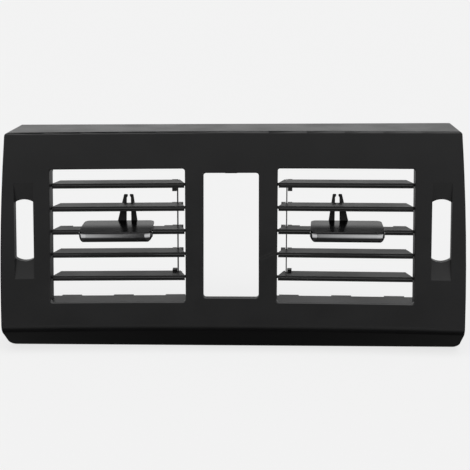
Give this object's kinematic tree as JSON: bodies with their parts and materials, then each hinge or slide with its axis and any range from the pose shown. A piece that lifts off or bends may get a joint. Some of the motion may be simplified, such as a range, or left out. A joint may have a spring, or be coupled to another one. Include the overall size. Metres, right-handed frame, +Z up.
{
  "type": "dashboard air vent",
  "caption": "Black moulded dashboard air vent panel: square outlets with tilting slats and sliding knobs, a tall middle opening, thumbwheel slots, a top flange and screw bosses behind.",
  "frame": {"origin": "middle of the screw bosses, on the plane of their ends", "axes": "+X to the right seen from the front, +Y from the face to the back along the bosses, +Z up"},
  "size_m": [0.214, 0.0491, 0.0999],
  "materials": {
    "fascia_plastic": "fine grained satin black",
    "slat_plastic": "satin black",
    "knob_plastic": "semi-gloss black",
    "trim_chrome": "satin chrome",
    "pad_rubber": "plain"
  },
  "bodies": {
    "panel": {"fascia": "fascia_plastic", "right_outer_strip": "slat_plastic", "right_inner_strip": "slat_plastic", "left_outer_strip": "slat_plastic", "left_inner_strip": "slat_plastic"},
    "right_slat_1": {"right_slat_1": "slat_plastic"},
    "right_slat_2": {"right_slat_2": "slat_plastic"},
    "right_slat_3": {"right_slat_3": "slat_plastic"},
    "right_slat_4": {"right_slat_4": "slat_plastic"},
    "right_slat_5": {"right_slat_5": "slat_plastic"},
    "right_link": {"right_link": "slat_plastic"},
    "right_knob": {"right_knob": "knob_plastic", "right_knob_trim": "trim_chrome", "right_knob_fork": "slat_plastic", "right_knob_pad": "pad_rubber"},
    "left_slat_1": {"left_slat_1": "slat_plastic"},
    "left_slat_2": {"left_slat_2": "slat_plastic"},
    "left_slat_3": {"left_slat_3": "slat_plastic"},
    "left_slat_4": {"left_slat_4": "slat_plastic"},
    "left_slat_5": {"left_slat_5": "slat_plastic"},
    "left_link": {"left_link": "slat_plastic"},
    "left_knob": {"left_knob": "knob_plastic", "left_knob_trim": "trim_chrome", "left_knob_fork": "slat_plastic", "left_knob_pad": "pad_rubber"}
  },
  "joints": [
    {"name": "right_slat_1_tilt", "type": "hinge", "parent": "panel", "child": "right_slat_1", "pos_m": [0.05296, -0.00621, 0.0219], "axis": [0.9996, -0.0292, 0], "range_deg": [-25, 20]},
    {"name": "right_slat_2_tilt", "type": "hinge", "parent": "panel", "child": "right_slat_2", "pos_m": [0.05288, -0.00882, 0.01145], "axis": [0.9996, -0.0292, 0], "range_deg": [-25, 20]},
    {"name": "right_slat_3_tilt", "type": "hinge", "parent": "panel", "child": "right_slat_3", "pos_m": [0.05281, -0.01142, 0.001], "axis": [0.9996, -0.0292, 0], "range_deg": [-25, 20]},
    {"name": "right_slat_4_tilt", "type": "hinge", "parent": "panel", "child": "right_slat_4", "pos_m": [0.05273, -0.01403, -0.00945], "axis": [0.9996, -0.0292, 0], "range_deg": [-25, 20]},
    {"name": "right_slat_5_tilt", "type": "hinge", "parent": "panel", "child": "right_slat_5", "pos_m": [0.05265, -0.01663, -0.0199], "axis": [0.9996, -0.0292, 0], "range_deg": [-25, 20]},
    {"name": "right_link_pivot", "type": "hinge", "parent": "right_slat_3", "child": "right_link", "pos_m": [0.05298, -0.00543, 0.001], "axis": [0.9996, -0.0292, 0], "range_deg": [-20, 25]},
    {"name": "right_knob_slide", "type": "slide", "parent": "right_slat_3", "child": "right_knob", "axis": [0.9996, -0.0292, 0], "range_m": [-0.00775, 0.00775]},
    {"name": "left_slat_1_tilt", "type": "hinge", "parent": "panel", "child": "left_slat_1", "pos_m": [-0.05296, -0.00621, 0.0219], "axis": [0.9996, 0.0292, 0], "range_deg": [-25, 20]},
    {"name": "left_slat_2_tilt", "type": "hinge", "parent": "panel", "child": "left_slat_2", "pos_m": [-0.05288, -0.00882, 0.01145], "axis": [0.9996, 0.0292, 0], "range_deg": [-25, 20]},
    {"name": "left_slat_3_tilt", "type": "hinge", "parent": "panel", "child": "left_slat_3", "pos_m": [-0.05281, -0.01142, 0.001], "axis": [0.9996, 0.0292, 0], "range_deg": [-25, 20]},
    {"name": "left_slat_4_tilt", "type": "hinge", "parent": "panel", "child": "left_slat_4", "pos_m": [-0.05273, -0.01403, -0.00945], "axis": [0.9996, 0.0292, 0], "range_deg": [-25, 20]},
    {"name": "left_slat_5_tilt", "type": "hinge", "parent": "panel", "child": "left_slat_5", "pos_m": [-0.05265, -0.01663, -0.0199], "axis": [0.9996, 0.0292, 0], "range_deg": [-25, 20]},
    {"name": "left_link_pivot", "type": "hinge", "parent": "left_slat_3", "child": "left_link", "pos_m": [-0.05298, -0.00543, 0.001], "axis": [0.9996, 0.0292, 0], "range_deg": [-20, 25]},
    {"name": "left_knob_slide", "type": "slide", "parent": "left_slat_3", "child": "left_knob", "axis": [0.9996, 0.0292, 0], "range_m": [-0.00775, 0.00775]}
  ],
  "couplings": [
    {"joint": "right_slat_1_tilt", "follows": "right_slat_3_tilt", "ratio": 1},
    {"joint": "right_slat_2_tilt", "follows": "right_slat_3_tilt", "ratio": 1},
    {"joint": "right_slat_4_tilt", "follows": "right_slat_3_tilt", "ratio": 1},
    {"joint": "right_slat_5_tilt", "follows": "right_slat_3_tilt", "ratio": 1},
    {"joint": "right_link_pivot", "follows": "right_slat_3_tilt", "ratio": -1},
    {"joint": "left_slat_1_tilt", "follows": "left_slat_3_tilt", "ratio": 1},
    {"joint": "left_slat_2_tilt", "follows": "left_slat_3_tilt", "ratio": 1},
    {"joint": "left_slat_4_tilt", "follows": "left_slat_3_tilt", "ratio": 1},
    {"joint": "left_slat_5_tilt", "follows": "left_slat_3_tilt", "ratio": 1},
    {"joint": "left_link_pivot", "follows": "left_slat_3_tilt", "ratio": -1}
  ]
}
